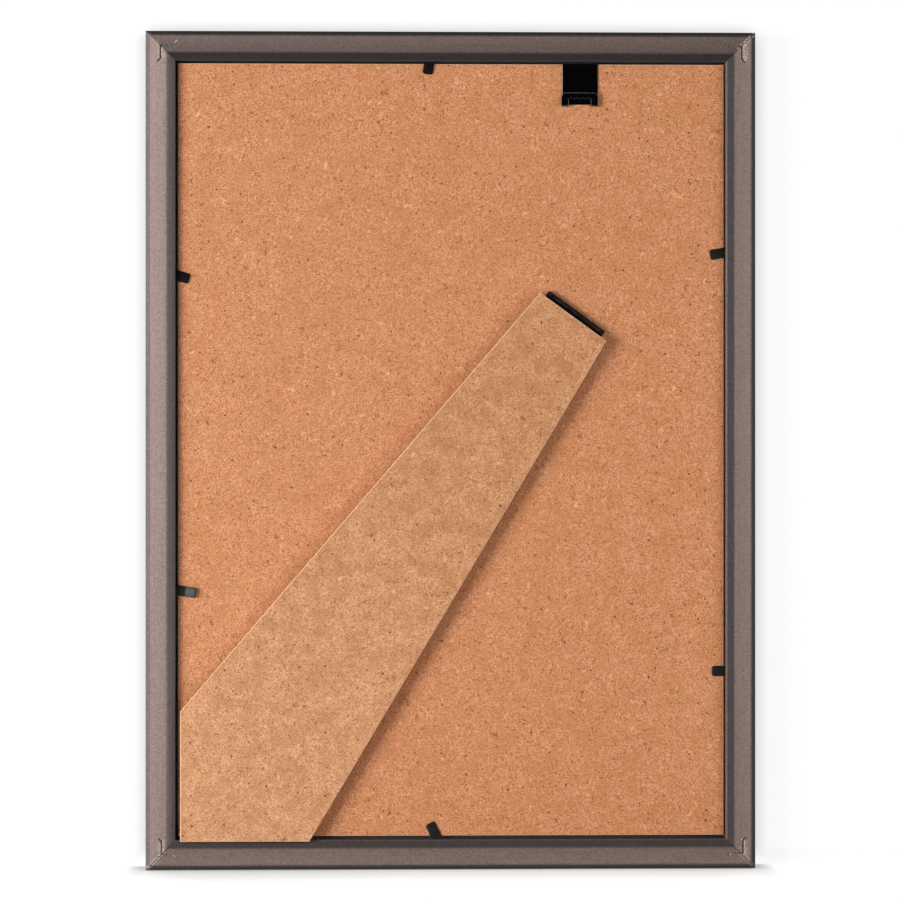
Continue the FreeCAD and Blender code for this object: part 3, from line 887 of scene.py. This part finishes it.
@dataclass
class FlexiblePoint:
    """Bendable steel strip, driven into the wall of the rabbet and laid down over the board.

    It is one strip from its pointed end inside the rail to its rounded tip. The joint's axis
    runs along the wall, where the strip's rings lie closer together.
    """

    name: str
    reach: float
    lean: float
    lift: float
    width: float = 4.0
    thickness: float = 0.4
    driven: float = 5.95
    tip_round: float = 0.9
    edge_round: float = 0.1
    kink_share: float = 0.42
    kink_length: float = 0.9
    bend_before: float = 0.35
    bend_after: float = 0.75

    def half_width(self, run: np.ndarray) -> np.ndarray:
        """Half the width of the strip at each distance from the bend.

        It is half the width on the straight, falls in a straight line to the pointed end and
        follows a quarter circle at the tip.

        Args:
            run: Distances along the strip from the bend, in millimetres.

        Returns:
            The half widths, in millimetres.
        """
        half = self.width / 2
        point = np.clip(run + self.driven, 0.05, half)
        into_tip = np.clip(run - self.reach + self.tip_round, 0, self.tip_round)
        corner = self.tip_round - np.sqrt(self.tip_round**2 - into_tip**2)
        return np.minimum(point, half - corner)

    def stations(self) -> np.ndarray:
        """Distances along the strip at which it has a ring.

        They lie even on the straight, closer together over the bend, and follow the sine of
        even angles at the rounded tip.

        Returns:
            The distances from the bend, in millimetres, from the lowest up.
        """
        tip = self.reach - self.tip_round
        runs = [
            np.linspace(-self.driven, -self.bend_before, 10),
            np.linspace(-self.bend_before, self.bend_after, 23),
            np.linspace(self.bend_after, tip, 26),
            tip + self.tip_round * np.sin(np.linspace(0.0, math.pi / 2, 9)),
        ]
        return np.unique(np.round(np.concatenate(runs), 6))

    def rise(self, inwards: np.ndarray) -> np.ndarray:
        """Height of the strip's middle over the board plane, where its tip is bent up.

        The height is zero up to the kink and then grows with the tangent of the lift, and a
        parabola joins the two.

        Args:
            inwards: Distances from the wall side of the bend, in millimetres.

        Returns:
            The heights, in millimetres.
        """
        past = inwards - self.kink_share * self.reach + self.kink_length / 2
        inside = np.clip(past, 0, self.kink_length)
        beyond = np.clip(past - self.kink_length, 0, None)
        return math.tan(math.radians(self.lift)) * (inside**2 / (2 * self.kink_length) + beyond)

    def ring(self) -> tuple[np.ndarray, np.ndarray]:
        """Rounded rectangle of the strip's section.

        Each corner is a quarter circle of the edge radius.

        Returns:
            Side of each point, -1 or 1 times its share of the half width with the offset of
            its corner, and its height over the middle of the sheet.
        """
        angles = np.linspace(0.0, math.pi / 2, 4)
        turn = np.concatenate([angles + quarter * math.pi / 2 for quarter in range(4)])
        sides = np.repeat([1.0, -1.0, -1.0, 1.0], len(angles))
        tops = np.repeat([1.0, 1.0, -1.0, -1.0], len(angles))
        offset = self.edge_round * (np.cos(turn) - sides)
        height = tops * (self.thickness / 2 - self.edge_round) + self.edge_round * np.sin(turn)
        return np.stack([sides, offset]), height

    def build(self, finish: bpy.types.Material) -> None:
        """Make the strip in place over its joint and stand it for its two solids.

        A point of the strip lies at the root plus its run along the leaning strip, plus its
        offset across it, plus the rise and the sheet's thickness towards the back.

        Args:
            finish: Material of the strip.
        """
        joint = next(row for row in frame["joints"] if row["child"] == self.name)
        root, axis = (np.array(joint[key], float) for key in ("pos_m", "axis"))
        inwards = np.cross(axis, (0.0, 1.0, 0.0))
        lean = math.radians(self.lean)
        along = inwards * math.cos(lean) + axis * math.sin(lean)
        across = axis * math.cos(lean) - inwards * math.sin(lean)
        run = self.stations()
        half = self.half_width(run)[:, None]
        (sides, offset), height = self.ring()
        spread = sides * half + offset * np.minimum(1.0, half / self.edge_round)
        up = self.rise(run * math.cos(lean))[:, None] + height
        flat = run[:, None, None] * along + spread[..., None] * across
        rings = root + MM * (flat + up[..., None] * np.array((0.0, -1.0, 0.0)))
        strip = loft(f"{self.name}_strip", rings)
        strip.data.materials.append(finish)
        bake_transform(strip)
        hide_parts(f"{self.name}_blade", f"{self.name}_shank")
        LOG.info("made %s with %d rings", strip.name, len(run))


def build_points() -> None:
    """Make the six flexible points, each with its own reach, lean and lift, and a lit or shaded
    copy of the black steel.
    """
    # Painted light and shade: copies of one black steel, darker for the points that lie in shade
    # (top, upper left and the lifted lower left) and paler for those in the light.
    shaded, lifted, lit = (
        SteelFinish(name, black, wear_and_sheen, edge=edge, gloss=gloss, shine=shine).build()
        for name, black, wear_and_sheen, edge, gloss, shine in (
            ("shaded_point_black", (6, 4, 3), (14, 10, 8), (60, 52, 48), 0.4, 0.2),
            ("lifted_point_black", (8, 6, 5), (18, 14, 12), (70, 62, 58), 0.35, 0.45),
            ("point_black", (20, 17, 15), (32, 28, 26), (84, 78, 74), 0.35, 0.35),
        )
    )
    for name, reach, lean, lift, steel in (
        ("top", 4.33, 8.0, 0.0, shaded),
        ("bottom", 6.17, -25.0, 0.0, lit),
        ("upper_left", 5.05, 17.0, 0.0, shaded),
        ("lower_left", 7.45, 8.0, 14.0, lifted),
        ("upper_right", 5.53, -10.0, 0.0, lit),
        ("lower_right", 4.73, 0.0, 0.0, lit),
    ):
        FlexiblePoint(f"{name}_point", reach, lean, lift).build(steel)


@dataclass
class Moulding:
    """The four mitred rails and the V-shaped nails that hold their corners."""

    width: float = 235.0
    height: float = 322.5
    low_nail: float = 7.8
    high_nail: float = 315.2
    burr_left: float = 6.1
    burr_right: float = 4.55

    def wear_and_light(self, side: Side) -> RailWearAndLight:
        """Painted light, tones and wear of one rail.

        Args:
            side: Side of the frame that the rail is on.

        Returns:
            The wear and painted light, with the burrs beside the nails' upright arms on the
            upright rails, and the streaks beside their hooks on the level ones.
        """
        low, high = self.low_nail, self.high_nail
        # Painted light: the bare and coat tones are lit and shaded copies, with the left rail
        # brightest where the side lamp's sheen falls and the top darkest. The left coat gets
        # painted shade inwards and at its lip, and the lip sheen paints a highlight on the lip,
        # strongest on the right.
        return {
            Side.TOP: RailWearAndLight(
                0.96, 0.57, 0.25, 1.0, lip_sheen=0.15, light_drift=-0.18, fall=0.28,
                streaks=(Streak(4.3, 11.7, -1.0),),
            ),
            Side.BOTTOM: RailWearAndLight(
                1.35, 1.28, 1.0, 0.45, lip_sheen=0.2,
                streaks=(Streak(5.7, 10.9, -1.0), Streak(5.6, 225.3, 1.0)),
            ),
            Side.LEFT: RailWearAndLight(
                2.0, 3.5, 0.9, 0.2, light_drift=0.2, coat_shade_fall=0.4, lip_shade=0.55,
                arms=((self.burr_left, low), (self.burr_left, high)),
            ),
            Side.RIGHT: RailWearAndLight(
                1.45, 1.35, 0.45, 0.9, lip_sheen=0.9,
                arms=((self.burr_right, low), (self.burr_right, high)),
            ),
        }[side]

    def build(self) -> None:
        """Dress the rails and the corner nails."""
        for side in Side:
            finish = MouldingFinish(side, self.width, self.height, self.wear_and_light(side))
            dress(f"{side.value}_rail", finish.build())
        # Columns: the nails' row, the painted light tone of their level arm, and their steel.
        for upright, lit_arm, steel in (
            ("upper", (120, 106, 99), (50, 41, 37)),
            ("lower", (130, 115, 108), (66, 56, 50)),
        ):
            nail = NailFinish(f"{upright}_nail_steel", steel, lit_arm).build()
            for level in ("left", "right"):
                dress(f"{upright}_{level}_corner_nail", nail)


@dataclass
class RabbetStack:
    """What lies in the rabbet: the glass, the sheet behind it and the hardboard back."""

    def build(self) -> None:
        """Dress the three plates."""
        dress("glass_pane", GlassFinish("float_glass").build())
        dress("insert_sheet", PaperFinish("plain_paper").build())
        dress("back_board", HardboardFinish("hardboard").build())


@dataclass
class EaselStrut:
    """The hardboard strut and its black steel hinge."""

    def build(self) -> None:
        """Dress the strut, the two leaves and the pin."""
        # Painted shade: the strut's colour darkens towards its head by the head shade.
        board = HardboardFinish(
            "strut_hardboard", light=(248, 196, 155), deep=(183, 108, 38), red=(186, 114, 66),
            cloud=(176, 114, 64), speck=(100, 46, 14), foot=20.0, head=210.0,
            head_shade=(0.87, 0.83, 0.77), cloud_size=6.0, cloud_share=0.45, speck_share=0.7,
        )
        dress("strut", board.build())
        steel = HingeFinish(
            "hinge_black", (3, 2, 2), (9, 8, 8), edge_share=0.1, gloss=0.3, matt=0.45, shine=0.2
        ).build()
        for node in ("board_hinge_leaf", "strut_hinge_leaf", "hinge_pin"):
            dress(node, steel)


@dataclass
class WallHanger:
    """The folded hanger strip with its toothed flap."""

    def build(self) -> None:
        """Dress the hanger."""
        steel = HangerFinish(
            "hanger_black", (2, 1, 1), (6, 5, 5), edge=(70, 66, 64), gloss=0.14, matt=0.22,
            shine=0.35, scratch=0.2,
        )
        dress("hanger", steel.build())


def aim(thing: bpy.types.Object, middle: Vector, turn: Span, distance: float) -> None:
    """Stand a lamp or the camera round a point that it looks at.

    Its place is the point plus the distance along a direction: the first angle goes from
    straight behind the frame towards -X, and the second from the level up.

    Args:
        thing: The lamp or camera.
        middle: The point.
        turn: The two angles, in degrees.
        distance: Distance from the point, in metres.
    """
    swing, lift = map(math.radians, turn)
    level = math.cos(lift)
    way = Vector((-math.sin(swing) * level, -math.cos(swing) * level, math.sin(lift)))
    thing.location = middle + way * distance
    thing.rotation_euler = (-way).to_track_quat("-Z", "Y").to_euler()
    bpy.context.scene.collection.objects.link(thing)


@dataclass
class Lamp:
    """Soft rectangular lamp that looks at the middle of the frame."""

    name: str
    turn: Span
    distance: float
    width: float
    height: float
    watts: float

    def build(self, middle: Vector) -> None:
        """Place the lamp.

        Args:
            middle: Point that it looks at.
        """
        data = bpy.data.lights.new(self.name, "AREA")
        data.shape = "RECTANGLE"
        data.size, data.size_y, data.energy = self.width, self.height, self.watts
        lamp = bpy.data.objects.new(self.name, data)
        lamp.visible_camera = False
        aim(lamp, middle, self.turn, self.distance)


@dataclass
class Studio:
    """Camera, lamps, white surroundings and the pale floor and sheet that take the shadow."""

    middle_height: float = 0.16125
    back_plane: float = -0.00635
    front_plane: float = 0.00765
    camera_distance: float = 1.2984
    camera_swing: float = 1.58
    camera_aside: float = -0.0005
    camera_up: float = 0.00013
    lens: float = 135.0
    ambient: float = 0.1
    dark_side: float = 0.03
    sheet_gap: float = 0.0004
    floor_drop: float = 0.0002

    def build(self) -> None:
        """Set up the whole studio."""
        middle = Vector((0.0, self.back_plane, self.middle_height))
        self.place_camera(middle + Vector((self.camera_aside, 0.0, self.camera_up)))
        for lamp in (
            Lamp("key", (52.0, 1.0), 1.25, 0.66, 0.34, 15.4),
            Lamp("fill", (-52.0, 6.0), 1.2, 0.6, 0.5, 5.0),
            Lamp("front_key", (150.0, 30.0), 1.2, 0.6, 0.9, 8.0),
            Lamp("front_fill", (-140.0, 20.0), 1.3, 0.6, 0.9, 4.0),
        ):
            lamp.build(middle)
        self.light_world()
        self.lay_floor()
        self.hang_sheet()
        bpy.context.scene.view_settings.view_transform = "Standard"

    def place_camera(self, middle: Vector) -> None:
        """Put the camera straight behind the frame, swung a little to the left.

        Args:
            middle: Point in the middle of the picture.
        """
        data = bpy.data.cameras.new("camera")
        data.lens = self.lens
        data.clip_start = 0.01
        camera = bpy.data.objects.new("camera", data)
        aim(camera, middle, (self.camera_swing, 0.0), self.camera_distance)
        bpy.context.scene.camera = camera

    def light_world(self) -> None:
        """White surroundings for the camera, and a dark room behind the camera for gloss.

        The direction's Y is the Generated coordinate of the world: gloss sees white where it
        looks away from the camera's side of the room.
        """
        world = bpy.data.worlds.new("studio")
        bpy.context.scene.world = world
        world.use_nodes = True
        world.node_tree.nodes.clear()
        net = Tree(world.node_tree)
        path = net.node("LightPath", {}).outputs
        glossy = path["Is Glossy Ray"]
        way = net.node("SeparateXYZ", {0: net.node("TexCoord", {}).outputs["Generated"]})
        room = {"From Min": -0.1, "From Max": 0.2, "To Min": self.dark_side}
        ahead = net.node("MapRange", {"Value": way.outputs[1], **room}).outputs[0]
        gloss = net.node("Mix", {0: glossy, 2: self.ambient, 3: ahead}).outputs[0]
        seen = net.maths("MAXIMUM", path["Is Camera Ray"], path["Is Transmission Ray"])
        strength = net.node("Mix", {0: seen, 2: gloss, 3: 1.0}).outputs[0]
        background = net.node("Background", {0: (1.0, 1.0, 1.0, 1.0), 1: strength})
        net.node("OutputWorld", {0: background.outputs[0]})

    def sheet(
        self, name: str, corners: list[Triple], glow: float, pale: float, reach: float,
        contact: float, fade: tuple[int, float, float], one_sided: bool = False,
    ) -> None:
        """Flat white stage sheet that keeps a soft shadow.

        To the camera it shows its own glow plus the light that falls on it, so that it is
        white wherever no shadow falls. The glow sinks where the object closes in the sheet, a
        painted contact shadow.

        Args:
            name: Name of the sheet.
            corners: Its four corners, in metres.
            glow: Brightness that it shows to the camera without any light.
            pale: Reflectance of its surface.
            reach: Distance over which the object closes it in, in metres.
            contact: Share of the glow that it can take away there.
            fade: Axis along which that shade fades, and the distances from the middle, in
                millimetres, at which it is gone and at which it is whole.
            one_sided: Whether it is there only for the camera, on the side that it faces.
        """
        mesh = bpy.data.meshes.new(name)
        mesh.from_pydata(corners, [], [(0, 1, 2, 3)])
        made = bpy.data.objects.new(name, mesh)
        bpy.context.scene.collection.objects.link(made)
        net = Network(name)
        camera = net.node("LightPath", {}).outputs["Is Camera Ray"]
        paper = net.node("BsdfDiffuse", {"Color": (pale, pale, pale, 1.0)})
        closed = net.node("AmbientOcclusion", {"Distance": reach}, samples=24)
        axis, gone, whole = fade
        kept = net.window(net.maths("ABSOLUTE", net.millimetres()[axis]), gone, whole)
        # Painted contact shadow: the occlusion lowers the glow near the frame.
        shade = net.product(net.less(1.0, closed.outputs["AO"]), kept, contact)
        shine = net.node("Emission", {"Strength": net.scaled(shade, -glow, glow)})
        both = net.node("AddShader", {0: paper.outputs[0], 1: shine.outputs[0]})
        if one_sided:
            behind = net.node("NewGeometry", {}).outputs["Backfacing"]
            camera = net.product(camera, net.less(1.0, behind))
            plain = net.node("BsdfTransparent", {})
        else:
            plain = net.node("BsdfDiffuse", {"Color": (0.6, 0.6, 0.6, 1.0)})
        shown = net.node("MixShader", {0: camera, 1: plain.outputs[0], 2: both.outputs[0]})
        net.feed(net.output.inputs["Surface"], shown.outputs[0])
        mesh.materials.append(net.material)

    def lay_floor(self) -> None:
        """Pale floor that the frame stands on."""
        reach, level = 3.0, -self.floor_drop
        turns = ((-1, -1), (1, -1), (1, 1), (-1, 1))
        self.sheet(
            "floor", [(aside * reach, depth * reach, level) for aside, depth in turns],
            glow=0.9, pale=0.3, reach=0.04, contact=0.8, fade=(0, 128.0, 119.0),
        )

    def hang_sheet(self) -> None:
        """White sheet close behind the frame, which takes its soft shadow."""
        reach, top, depth = 0.4, 0.6, self.front_plane + self.sheet_gap
        turns = ((-1, 0), (1, 0), (1, 1), (-1, 1))
        self.sheet(
            "back_sheet", [(aside * reach, depth, up * top) for aside, up in turns],
            glow=0.88, pale=0.17, reach=0.007, contact=0.65, fade=(2, 1.0, 8.0), one_sided=True,
        )


def main() -> None:
    """Build the sub-assemblies in order, then the studio."""
    logging.basicConfig(level=logging.INFO, format="%(message)s")
    Moulding().build()
    RabbetStack().build()
    EaselStrut().build()
    WallHanger().build()
    build_points()
    Studio().build()


if __name__ == "__main__":
    main()
